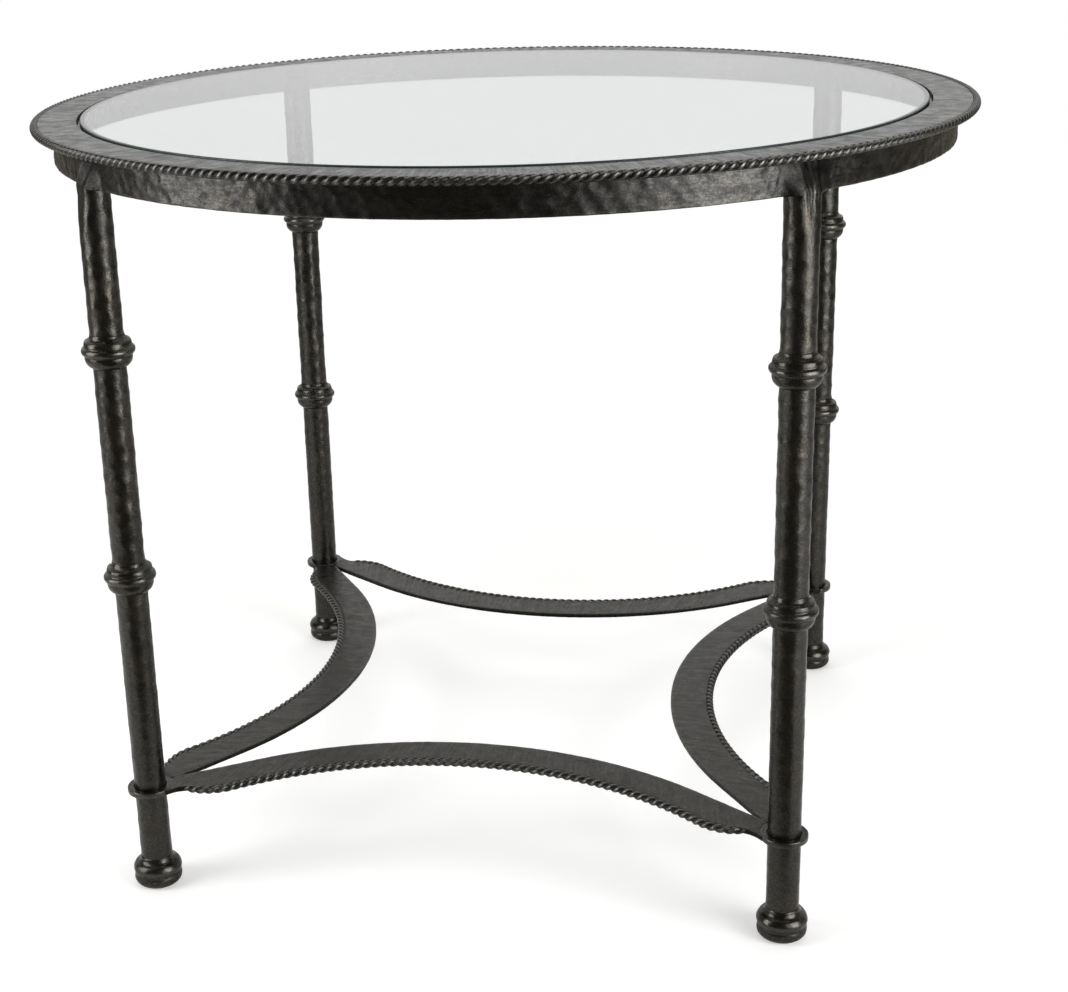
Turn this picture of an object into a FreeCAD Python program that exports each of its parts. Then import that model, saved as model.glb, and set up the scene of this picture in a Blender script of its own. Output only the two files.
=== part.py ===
import FreeCAD
import Part
import math
import os
from FreeCAD import Vector

# Round wrought iron table with a drop-in glass top.
# Millimetres, +Z up, origin on the floor under the middle of the top, front towards -Y.

# Overall
TABLE_DIAMETER = 914.4
TABLE_HEIGHT = 730.25

# Twisted rod bead round the rim and along the stretcher bars, shown as its round envelope
ROPE_DIAMETER = 8.0
ROPE_BED = 1.0
ROPE_PROUD = 1.0

# Flat rim plate, glass and the ledge under the glass
RIM_WIDTH = 43.8
RIM_THICKNESS = 8.0
RIM_EDGE_ROUND = 0.8
GLASS_THICKNESS = 5.0
GLASS_GAP = 3.0
GLASS_EDGE_ROUND = 1.2
LEDGE_LAP = 5.0
LEDGE_THICKNESS = 4.0

# Apron band under the rim
APRON_SETBACK = 19.6
APRON_THICKNESS = 6.0
APRON_DEPTH = 28.4
APRON_EDGE_CHAMFER = 0.8

# Legs: round bar that stands proud of the apron's face. Its outside is dressed back in a taper
# that starts a lead below the apron and runs out on the apron's face, just clear of the rim.
LEG_DIAMETER = 30.5
LEG_PROUD = 12.15
DRESSING_LEAD = 15.0
DRESSING_CLEAR = 2.0
DRESSING_LAND = 0.8

# Collars, two on each leg; walls are measured out from the leg
UPPER_COLLAR_Z = 546.2
LOWER_COLLAR_Z = 327.2
COLLAR_HEIGHT = 31.5
COLLAR_SHOULDER_WALL = 5.45
COLLAR_SHOULDER_DROP = 6.4
COLLAR_BAND_WALL = 6.35
COLLAR_LIP_WALL = 9.25
COLLAR_LIP_THICKNESS = 7.4
COLLAR_COVE = 1.5
COLLAR_BAND_CROWN = 0.4
COLLAR_UNDER_CROWN = 2.2

# Feet: bell over a rounded base; walls are measured out from the leg
FOOT_HEIGHT = 31.0
FOOT_BASE_WALL = 1.75
FOOT_GROOVE_WALL = 6.95
FOOT_GROOVE_Z = 13.0
FOOT_ROLL_CROWN = 3.6
FOOT_BELL_WALL = 9.25
FOOT_BELL_Z = 17.5
FOOT_SHOULDER_WALL = 5.75
FOOT_SHOULDER_Z = 24.0
FOOT_COVE = 1.5
FOOT_FLOOR = 8.0

# Stretcher: four bars bowed in towards the middle, on eyes round the legs
STRETCHER_TOP_Z = 106.7
STRETCHER_THICKNESS = 5.0
BAR_BOW = 94.7
BAR_NECK = 48.5
BAR_WIDTH = 40.7
BAR_BULGE_RADIUS = 50.0
BAR_NECK_OFFSET = 1.0
BAR_CROTCH = 30.0
BAR_STRAIGHT = 78.6
EYE_WALL = 6.75
EYE_THICKNESS = 5.6
EYE_ROUND = 1.6
EYE_COUNTERSINK = 1.0

# Margin by which a cutting tool runs past what it cuts
OVERRUN = 10.0

# Difference under which two sizes count as the same when an edge is looked up
SAME_SIZE = 1e-4

# Levels and radii that follow from the sizes above
RIM_TOP = TABLE_HEIGHT - ROPE_PROUD
RIM_UNDERSIDE = RIM_TOP - RIM_THICKNESS
LEDGE_TOP = RIM_UNDERSIDE + LEDGE_THICKNESS
APRON_BOTTOM = RIM_UNDERSIDE - APRON_DEPTH
APRON_OUTER = TABLE_DIAMETER / 2 - APRON_SETBACK
APRON_INNER = APRON_OUTER - APRON_THICKNESS
DRESSING_TOP = RIM_UNDERSIDE - DRESSING_CLEAR
ROPE_RADIUS = ROPE_DIAMETER / 2
ROPE_SEAT = ROPE_RADIUS - ROPE_BED
RIM_ROPE_CIRCLE = TABLE_DIAMETER / 2 - ROPE_RADIUS
RIM_ROPE_Z = TABLE_HEIGHT - ROPE_RADIUS
RIM_OPENING = TABLE_DIAMETER / 2 - RIM_WIDTH
GLASS_RADIUS = RIM_OPENING - GLASS_GAP
LEG_RADIUS = LEG_DIAMETER / 2
LEG_CIRCLE = APRON_OUTER + LEG_PROUD - LEG_RADIUS
LEG_OFFSET = LEG_CIRCLE * math.sqrt(0.5)
STRETCHER_MID_Z = STRETCHER_TOP_Z - STRETCHER_THICKNESS / 2
EYE_RADIUS = LEG_RADIUS + EYE_WALL
BAR_REACH = LEG_OFFSET - BAR_BOW

# Each corner's name and its turn about the table's axis from the front right leg
CORNERS = {"front_right": 0, "back_right": 90, "back_left": 180, "front_left": 270}
SIDES = {"front": 0, "right": 90, "back": 180, "left": 270}

UP = Vector(0, 0, 1)
ORIGIN = Vector(0, 0, 0)


def ring(inner, outer, bottom, top):
    """Flat ring about the table's axis."""
    height = top - bottom
    base = Vector(0, 0, bottom)
    hole_base = Vector(0, 0, bottom - OVERRUN)
    disc = Part.makeCylinder(outer, height, base)
    return disc.cut(Part.makeCylinder(inner, height + 2 * OVERRUN, hole_base))


def circles_at(shape, radius, z):
    """Circular edges of a shape at one radius and level, for rounding."""
    found = []
    for edge in shape.Edges:
        curve = edge.Curve
        if not isinstance(curve, Part.Circle):
            continue
        if abs(curve.Radius - radius) < SAME_SIZE and abs(curve.Center.z - z) < SAME_SIZE:
            found.append(edge)
    return found


def bowed(start, end, bow):
    """Arc from start to end whose middle stands off the chord by bow, to the right of travel."""
    chord = end.sub(start)
    side = Vector(chord.z, 0, -chord.x).normalize()
    middle = start.add(end).multiply(0.5).add(side.multiply(bow))
    return Part.Arc(start, middle, end).toShape()


def turned(edges, centre, z):
    """Solid of revolution about a vertical axis from a closed outline drawn in the XZ plane."""
    face = Part.Face(Part.Wire(edges))
    solid = face.revolve(ORIGIN, UP, 360)
    solid.translate(Vector(centre.x, centre.y, z))
    return solid


def about_axis(shape, degrees):
    """Copy of a shape turned about the table's axis."""
    copy = shape.copy()
    copy.rotate(ORIGIN, UP, degrees)
    return copy


def line(start, end):
    return Part.LineSegment(start, end).toShape()


# Corner that is modelled; the other three are turned from it
CORNER = Vector(LEG_OFFSET, -LEG_OFFSET, 0)


def make_rim_rope():
    return Part.makeTorus(RIM_ROPE_CIRCLE, ROPE_RADIUS, Vector(0, 0, RIM_ROPE_Z))


def make_top_rim(rope):
    """Flat plate with the bead bedded in its outer edge."""
    outer = RIM_ROPE_CIRCLE - ROPE_SEAT
    plate = ring(RIM_OPENING, outer, RIM_UNDERSIDE, RIM_TOP)
    edges = circles_at(plate, RIM_OPENING, RIM_TOP)
    return plate.makeFillet(RIM_EDGE_ROUND, edges).cut(rope)


def make_apron():
    """Hoop under the rim that the legs run up behind."""
    band = ring(APRON_INNER, APRON_OUTER, APRON_BOTTOM, RIM_UNDERSIDE)
    edges = circles_at(band, APRON_OUTER, APRON_BOTTOM)
    return band.makeChamfer(APRON_EDGE_CHAMFER, edges)


def make_ledge():
    """Inner ring that carries the glass, set in the rim's opening and level with its underside."""
    return ring(GLASS_RADIUS - LEDGE_LAP, RIM_OPENING, RIM_UNDERSIDE, LEDGE_TOP)


def make_glass():
    pane = Part.makeCylinder(GLASS_RADIUS, GLASS_THICKNESS, Vector(0, 0, LEDGE_TOP))
    edges = circles_at(pane, GLASS_RADIUS, LEDGE_TOP)
    edges += circles_at(pane, GLASS_RADIUS, LEDGE_TOP + GLASS_THICKNESS)
    return pane.makeFillet(GLASS_EDGE_ROUND, edges)


def outside_taper():
    """Room outside the taper that dresses a leg back from its full width to the apron's face."""
    low = APRON_BOTTOM - DRESSING_LEAD
    outside = APRON_OUTER + LEG_PROUD + OVERRUN
    corners = [
        Vector(APRON_OUTER + LEG_PROUD, 0, low),
        Vector(outside, 0, low),
        Vector(outside, 0, DRESSING_TOP),
        Vector(APRON_OUTER + DRESSING_LAND, 0, DRESSING_TOP),
    ]
    outline = Part.makePolygon(corners + corners[:1])
    return Part.Face(outline).revolve(ORIGIN, UP, 360)


def make_leg():
    """Round bar from the foot up: inside the apron to the rim, and dressed to run out on its face."""
    base = Vector(CORNER.x, CORNER.y, FOOT_FLOOR)
    bar = Part.makeCylinder(LEG_RADIUS, RIM_UNDERSIDE - FOOT_FLOOR, base)
    bar = bar.cut(ring(APRON_INNER, APRON_OUTER, APRON_BOTTOM, TABLE_HEIGHT))
    above_dressing = ring(APRON_INNER, APRON_OUTER + LEG_PROUD + OVERRUN, DRESSING_TOP, TABLE_HEIGHT)
    return bar.cut(above_dressing).cut(outside_taper())


def make_collar(z):
    """Turned collar: cove, band, round lip, and a band that rounds under."""
    half = COLLAR_HEIGHT / 2
    top = Vector(LEG_RADIUS, 0, half)
    bottom = Vector(LEG_RADIUS, 0, -half)
    shoulder = Vector(LEG_RADIUS + COLLAR_SHOULDER_WALL, 0, half - COLLAR_SHOULDER_DROP)
    lip_top = Vector(LEG_RADIUS + COLLAR_BAND_WALL, 0, COLLAR_LIP_THICKNESS / 2)
    lip = Vector(LEG_RADIUS + COLLAR_LIP_WALL, 0, 0)
    lip_bottom = Vector(LEG_RADIUS + COLLAR_BAND_WALL, 0, -COLLAR_LIP_THICKNESS / 2)
    outline = [
        bowed(top, shoulder, COLLAR_COVE),
        bowed(shoulder, lip_top, -COLLAR_BAND_CROWN),
        Part.Arc(lip_top, lip, lip_bottom).toShape(),
        bowed(lip_bottom, bottom, -COLLAR_UNDER_CROWN),
        line(bottom, top),
    ]
    return turned(outline, CORNER, z)


def make_foot():
    """Turned foot with a blind socket for the leg."""
    socket = Vector(LEG_RADIUS, 0, FOOT_FLOOR)
    top = Vector(LEG_RADIUS, 0, FOOT_HEIGHT)
    base = Vector(LEG_RADIUS + FOOT_BASE_WALL, 0, 0)
    groove = Vector(LEG_RADIUS + FOOT_GROOVE_WALL, 0, FOOT_GROOVE_Z)
    bell = Vector(LEG_RADIUS + FOOT_BELL_WALL, 0, FOOT_BELL_Z)
    shoulder = Vector(LEG_RADIUS + FOOT_SHOULDER_WALL, 0, FOOT_SHOULDER_Z)
    middle = Vector(0, 0, FOOT_FLOOR)
    outline = [
        line(ORIGIN, base),
        bowed(base, groove, FOOT_ROLL_CROWN),
        Part.Arc(groove, bell, shoulder).toShape(),
        bowed(shoulder, top, -FOOT_COVE),
        line(top, socket),
        line(socket, middle),
        line(middle, ORIGIN),
    ]
    return turned(outline, CORNER, 0)


def make_eye():
    """Flat ring round the leg with a rounded outer edge and a countersunk bore."""
    low = STRETCHER_MID_Z - EYE_THICKNESS / 2
    high = STRETCHER_MID_Z + EYE_THICKNESS / 2
    eye = ring(LEG_RADIUS, EYE_RADIUS, low, high)
    rounded = circles_at(eye, EYE_RADIUS, low) + circles_at(eye, EYE_RADIUS, high)
    eye = eye.makeFillet(EYE_ROUND, rounded)
    sunk = circles_at(eye, LEG_RADIUS, high)
    eye = eye.makeChamfer(EYE_COUNTERSINK, sunk)
    eye.translate(CORNER)
    return eye


def bar_edge(offset):
    """Outer line of the front bar, moved in by an offset, from the left leg's eye to the right.

    A wide bow with its centre outside the table runs into a bulge at each end, and the bulge
    into a straight neck at the eye. The bow's radius is the one that meets both bulges smoothly.
    """
    bulge_x = LEG_OFFSET - BAR_NECK
    drop = BAR_BOW - BAR_NECK_OFFSET - BAR_BULGE_RADIUS
    squares = bulge_x**2 + drop**2 - BAR_BULGE_RADIUS**2
    bow_radius = squares / (2 * (BAR_BULGE_RADIUS + drop))
    bow = bow_radius + offset
    bulge = BAR_BULGE_RADIUS - offset
    bow_centre = Vector(0, -BAR_REACH - bow_radius, STRETCHER_MID_Z)
    neck_y = -LEG_OFFSET + BAR_NECK_OFFSET + offset
    bulge_centre = Vector(bulge_x, neck_y + bulge, STRETCHER_MID_Z)
    along = bulge_centre.sub(bow_centre).normalize()
    bow_end = bow_centre.add(Vector(along).multiply(bow))
    neck = Vector(bulge_x, neck_y, STRETCHER_MID_Z)
    halfway = bow_end.sub(bulge_centre).add(neck.sub(bulge_centre)).normalize().multiply(bulge)
    bulge_middle = bulge_centre.add(halfway)
    bow_middle = Vector(0, bow_centre.y + bow, STRETCHER_MID_Z)
    eye = Vector(LEG_OFFSET, neck_y, STRETCHER_MID_Z)

    def mirrored(point):
        return Vector(-point.x, point.y, point.z)

    return [
        line(mirrored(eye), mirrored(neck)),
        Part.Arc(mirrored(neck), mirrored(bulge_middle), mirrored(bow_end)).toShape(),
        Part.Arc(mirrored(bow_end), bow_middle, bow_end).toShape(),
        Part.Arc(bow_end, bulge_middle, neck).toShape(),
        line(neck, eye),
    ]


def make_eye_room():
    """Discs that the two eyes of the front bar fill."""
    low = Vector(0, 0, STRETCHER_MID_Z - EYE_RADIUS)
    right = Part.makeCylinder(EYE_RADIUS, 2 * EYE_RADIUS, low.add(CORNER))
    return right.fuse(about_axis(right, -90))


def make_bar_rope():
    """Bead along the front bar, from eye to eye."""
    path = Part.Wire(bar_edge(0))
    start = path.OrderedVertexes[0].Point
    section = Part.Wire(Part.Circle(start, Vector(1, 0, 0), ROPE_RADIUS).toShape())
    return path.makePipeShell([section], True, True).cut(make_eye_room())


def make_bar(rope):
    """Front bar: flat plate between its two eyes, mitred to its neighbours on the diagonals.

    Its inner line is an arc through the middle with a straight tangent to the crotch at each end.
    The arc's radius is the one that gives the tangents their length.
    """
    edge = bar_edge(ROPE_SEAT)
    left_end = edge[0].Vertexes[0].Point
    right_end = edge[-1].Vertexes[1].Point
    right_leg = Vector(LEG_OFFSET, -LEG_OFFSET, STRETCHER_MID_Z)
    left_leg = Vector(-LEG_OFFSET, -LEG_OFFSET, STRETCHER_MID_Z)
    crotch = LEG_OFFSET - BAR_CROTCH * math.sqrt(0.5)
    right_crotch = Vector(crotch, -crotch, STRETCHER_MID_Z)
    left_crotch = Vector(-crotch, -crotch, STRETCHER_MID_Z)
    inner_y = -BAR_REACH + BAR_WIDTH
    inner_middle = Vector(0, inner_y, STRETCHER_MID_Z)
    rise = crotch + inner_y
    radius = (crotch**2 + rise**2 - BAR_STRAIGHT**2) / (2 * rise)
    lean = math.atan2(radius - rise, crotch) + math.atan2(BAR_STRAIGHT, radius)
    arc_x = radius * math.cos(lean)
    arc_y = inner_y - radius + radius * math.sin(lean)
    right_arc_end = Vector(arc_x, arc_y, STRETCHER_MID_Z)
    left_arc_end = Vector(-arc_x, arc_y, STRETCHER_MID_Z)
    outline = edge + [
        line(right_end, right_leg),
        line(right_leg, right_crotch),
        line(right_crotch, right_arc_end),
        Part.Arc(right_arc_end, inner_middle, left_arc_end).toShape(),
        line(left_arc_end, left_crotch),
        line(left_crotch, left_leg),
        line(left_leg, left_end),
    ]
    plate = Part.Face(Part.Wire(outline)).extrude(Vector(0, 0, STRETCHER_THICKNESS))
    plate.translate(Vector(0, 0, -STRETCHER_THICKNESS / 2))
    return plate.cut(make_eye_room()).cut(rope)


def single_solid(name, shape):
    """The one solid of a piece, checked."""
    solids = shape.Solids
    if len(solids) != 1 or not shape.isValid():
        raise ValueError("%s has %d solids, valid %s" % (name, len(solids), shape.isValid()))
    return solids[0]


def make_pieces():
    """Every piece of the table by name."""
    rim_rope = make_rim_rope()
    pieces = {
        "rim_rope": rim_rope,
        "top_rim": make_top_rim(rim_rope),
        "apron_band": make_apron(),
        "glass_ledge": make_ledge(),
        "glass_top": make_glass(),
    }
    corner_pieces = {
        "leg": make_leg(),
        "upper_collar": make_collar(UPPER_COLLAR_Z),
        "lower_collar": make_collar(LOWER_COLLAR_Z),
        "foot": make_foot(),
        "stretcher_eye": make_eye(),
    }
    for corner, degrees in CORNERS.items():
        for name, shape in corner_pieces.items():
            pieces[name + "_" + corner] = about_axis(shape, degrees)
    bar_rope = make_bar_rope()
    side_pieces = {"stretcher_rope": bar_rope, "stretcher_bar": make_bar(bar_rope)}
    for side, degrees in SIDES.items():
        for name, shape in side_pieces.items():
            pieces[name + "_" + side] = about_axis(shape, degrees)
    return pieces


os.makedirs("parts", exist_ok=True)
for name, shape in make_pieces().items():
    solid = single_solid(name, shape)
    solid.exportStep("parts/" + name + ".step")
    print("%-28s %10.0f mm3" % (name, solid.Volume))
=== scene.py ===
import math

import bpy
import numpy as np
from mathutils import Matrix, Vector


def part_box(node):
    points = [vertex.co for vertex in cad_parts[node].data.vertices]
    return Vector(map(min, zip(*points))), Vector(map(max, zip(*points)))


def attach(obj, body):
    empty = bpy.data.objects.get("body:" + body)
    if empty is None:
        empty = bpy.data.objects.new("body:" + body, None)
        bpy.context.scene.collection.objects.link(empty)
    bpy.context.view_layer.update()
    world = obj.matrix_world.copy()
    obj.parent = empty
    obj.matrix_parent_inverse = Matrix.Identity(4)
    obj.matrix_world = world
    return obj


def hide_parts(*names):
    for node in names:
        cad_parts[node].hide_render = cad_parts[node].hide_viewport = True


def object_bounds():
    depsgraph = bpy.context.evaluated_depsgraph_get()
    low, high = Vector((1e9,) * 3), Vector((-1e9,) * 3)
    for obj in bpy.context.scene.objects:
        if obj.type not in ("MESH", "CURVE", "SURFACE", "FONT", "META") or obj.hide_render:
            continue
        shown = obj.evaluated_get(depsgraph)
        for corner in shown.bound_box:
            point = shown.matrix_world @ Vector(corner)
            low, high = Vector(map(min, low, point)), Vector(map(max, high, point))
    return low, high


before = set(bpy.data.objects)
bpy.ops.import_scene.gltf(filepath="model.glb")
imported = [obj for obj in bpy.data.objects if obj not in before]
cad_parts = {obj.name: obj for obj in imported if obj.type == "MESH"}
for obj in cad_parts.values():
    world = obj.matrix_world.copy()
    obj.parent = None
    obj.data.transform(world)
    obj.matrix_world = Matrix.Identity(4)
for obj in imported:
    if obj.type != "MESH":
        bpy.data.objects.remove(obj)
cad_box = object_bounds()

# Sizes in metres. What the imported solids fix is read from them; the rest is named here.
MM = 0.001


def span(node, axis):
    """Length of a CAD node's box along one axis."""
    low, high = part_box(node)
    return high[axis] - low[axis]


def reach(node):
    """How far a ring about the table's axis reaches from that axis."""
    low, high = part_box(node)
    return max(-low.x, -low.y, high.x, high.y)


def level(node, end):
    """Lowest (end 0) or highest (end 1) level of a CAD node."""
    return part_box(node)[end].z


# Rim, bead and glass
TABLE_RADIUS = reach("rim_rope")
ROPE_RADIUS = span("rim_rope", 2) / 2
ROPE_LEVEL = level("rim_rope", 0) + ROPE_RADIUS
ROPE_CIRCLE = TABLE_RADIUS - ROPE_RADIUS
ROPE_BED = 1.0 * MM
ROPE_LEAD = 17.7 * MM
ROPE_STEPS = 16
ROPE_COLUMNS = 32
LOBE_OFFSET = 0.30
CROWN_START = 0.86
CROWN_RISE = 0.14
RIM_TOP = level("top_rim", 1)
RIM_UNDERSIDE = level("top_rim", 0)
RIM_WIDTH = 43.8 * MM
RIM_OPENING = TABLE_RADIUS - RIM_WIDTH
RIM_ARRIS = 0.9 * MM
RIM_DENT = 0.03 * MM
GLASS_GAP = 3.0 * MM
GLASS_RADIUS = RIM_OPENING - GLASS_GAP
GLASS_TOP = level("glass_top", 1)
GLASS_UNDERSIDE = level("glass_top", 0)
GLASS_ARRIS = 1.2 * MM
GLASS_HUB = 5.0 * MM
GLASS_COLUMNS = 512
FROST_SKIN = 0.06 * MM
FROST_TURN = 70

# Apron and ledge
APRON_OUTER = reach("apron_band")
APRON_THICKNESS = 6.0 * MM
APRON_INNER = APRON_OUTER - APRON_THICKNESS
APRON_BOTTOM = level("apron_band", 0)
APRON_ARRIS = 0.9 * MM
APRON_DENT = 0.34 * MM
APRON_WAVE = 0.12 * MM
APRON_SET_BACK = 0.3 * MM
# Strength of the shade painted on the apron beside each leg
APRON_PAINTED_SHADE = 0.95
LEDGE_LAP = 5.0 * MM
LEDGE_INNER = GLASS_RADIUS - LEDGE_LAP
LEDGE_TOP = level("glass_ledge", 1)
LEDGE_ARRIS = 0.5 * MM

# Legs, and the straps that they are dressed to under the apron
CORNER_TURNS = {"front_right": -45, "back_right": 45, "back_left": 135, "front_left": 225}
foot_low, foot_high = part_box("foot_front_right")
LEG_OFFSET = (foot_low.x + foot_high.x) / 2
LEG_CIRCLE = LEG_OFFSET * math.sqrt(2)
LEG_RADIUS = span("leg_front_right", 0) / 2
LEG_BOTTOM = level("leg_front_right", 0)
LEG_PROUD = LEG_CIRCLE + LEG_RADIUS - APRON_OUTER
LEG_STEP = 1.6 * MM
LEG_COLUMNS = 168
LEG_INSET = 8.0 * MM
LEG_DENT = 0.36 * MM
LEG_DENT_PITCH = 11.5 * MM
LEG_WAVE = 0.08 * MM
LEG_WAVE_PITCH = 24.0 * MM
LEG_CALM_LEVEL = 0.15
LEG_CALM_RISE = 0.25
# Strength of the shadow painted on the leg under the apron's edge
LEG_PAINTED_SHADE = 0.92
DRESSING_TOP = RIM_UNDERSIDE - 1.0 * MM
STRAP_LENGTH = 46.0 * MM
STRAP_PROUD = 8.5 * MM
STRAP_FLAT = 7.0 * MM
STRAP_FLANK = 21.0 * MM
STRAP_RISE = 28.0 * MM

# Collars, feet and eyes; points of a foot are a radius and a level
TURNED_COLUMNS = 96
FIT_EDGE = LEG_RADIUS + 0.3 * MM
FIT_BORE = LEG_RADIUS - 0.6 * MM
COLLAR_SHOULDER = LEG_RADIUS + 5.45 * MM
COLLAR_SHOULDER_DROP = 6.4 * MM
COLLAR_BAND = LEG_RADIUS + 6.35 * MM
COLLAR_LIP_HALF = 3.7 * MM
FOOT_HUB = 1.0 * MM
FOOT_BASE = (LEG_RADIUS + 1.75 * MM, 0.0)
FOOT_GROOVE = (LEG_RADIUS + 6.95 * MM, 13.0 * MM)
FOOT_SHOULDER = (LEG_RADIUS + 5.75 * MM, 24.0 * MM)
FOOT_BELL_PULL = 1.6 * MM
FOOT_BELL_LEVEL = 18.2 * MM
FOOT_CREST = 17.5 * MM
FOOT_SOCKET = 9.0 * MM
EYE_RADIUS = span("stretcher_eye_front_right", 0) / 2
EYE_BORE = LEG_RADIUS + 0.5 * MM
EYE_ARRIS = 1.0 * MM
EYE_SINK = 0.9 * MM

# Stretcher bars and their beads
SIDE_TURNS = {"front": 0, "right": 90, "back": 180, "left": 270}
BAR_TOP = level("stretcher_bar_front", 1)
BAR_BOTTOM = level("stretcher_bar_front", 0)
BAR_MIDDLE = (BAR_TOP + BAR_BOTTOM) / 2
BAR_BOW = 94.7 * MM
BAR_REACH = LEG_OFFSET - BAR_BOW
BAR_WIDTH = 40.7 * MM
BAR_NECK = 48.5 * MM
BAR_NECK_INSET = 1.0 * MM
BAR_BULGE = 50.0 * MM
BAR_CROTCH = 30.0 * MM
BAR_STRAIGHT = 78.6 * MM
BAR_ARRIS = 0.7 * MM
BAR_DENT = 0.10 * MM
BAR_FLARE = 15.0 * MM
BAR_FLARE_START = 20.0 * MM
BAR_FLARE_LENGTH = 11.0 * MM
BEAD_FADE_START = 7.0 * MM
BEAD_FADE = 18.0 * MM
BEAD_SINK = 2.0 * MM
BEAD_CORE = 0.55


def smooth(x):
    """Rise from 0 to 1 with level ends: 3x^2 - 2x^3."""
    x = np.clip(x, 0.0, 1.0)
    return x * x * (3.0 - 2.0 * x)


def arc(centre, radius, start, end, count):
    """Points on a circle in a plane, from one angle in degrees to another."""
    turn = np.radians(np.linspace(start, end, count))
    return np.stack([centre[0] + radius * np.cos(turn), centre[1] + radius * np.sin(turn)], 1)


def run(start, end, count):
    """Evenly spaced points on a straight line, both ends included."""
    return np.linspace(start, end, count)


def bowed(start, end, bow, count):
    """Points from start to end on an arc whose middle stands off the chord by bow, right of travel."""
    start = np.array(start)
    end = np.array(end)
    chord = end - start
    side = np.array([chord[1], -chord[0]]) / np.hypot(*chord)
    t = np.linspace(0.0, 1.0, count)[:, None]
    return start + chord * t + side * (4.0 * bow * t * (1.0 - t))


def path(*stretches):
    """One line of points from several, without the points where they meet twice."""
    points = np.concatenate([np.atleast_2d(s) for s in stretches])
    step = np.linalg.norm(np.diff(points, axis=0), axis=1)
    return points[np.concatenate([[True], step > 1e-7])]


def evenly(points, count):
    """The same line with points at equal distances along it, and each point's distance."""
    step = np.linalg.norm(np.diff(points, axis=0), axis=1)
    far = np.concatenate([[0.0], np.cumsum(step)])
    at = np.linspace(0.0, far[-1], count)
    columns = [np.interp(at, far, points[:, k]) for k in range(points.shape[1])]
    return np.stack(columns, 1), at


def soft_least(one, other, soft):
    """The lesser of two distances, rounded off where they are nearly the same."""
    share = np.clip((one - other) / soft * 0.5 + 0.5, 0.0, 1.0)
    return one + (other - one) * share - soft * share * (1.0 - share)


def blows(along, up, pitch, seed, around=None):
    """Hammer marks over a surface measured along and up, about -1 in a mark and +1 on a ridge.

    Blows sit on a jittered grid of the given pitch. Each leaves a bowl, the square of the distance
    to it less a depth of its own, and the surface is the soft least of the nine bowls nearby.
    around is the length after which the pattern meets itself.
    """
    columns = 61 if around is None else max(3, round(around / pitch))
    rows = 67
    wide = pitch if around is None else around / columns
    table = np.random.default_rng(seed).random((rows, columns, 3))
    x = along / wide
    y = up / pitch
    column = np.floor(x).astype(int)
    row = np.floor(y).astype(int)
    total = np.zeros(np.broadcast(x, y).shape)
    sharpness = 9.0
    margin = 0.1
    jitter = 0.8
    own_depth = 0.3
    for across in (-1, 0, 1):
        for over in (-1, 0, 1):
            near = table[(row + over) % rows, (column + across) % columns]
            dx = column + across + margin + jitter * near[..., 0] - x
            dy = row + over + margin + jitter * near[..., 1] - y
            total += np.exp(-sharpness * (dx * dx + dy * dy - own_depth * near[..., 2]))
    height = -np.log(total) / sharpness
    usual = 0.02
    spread = 0.28
    return (height - usual) / spread


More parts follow.
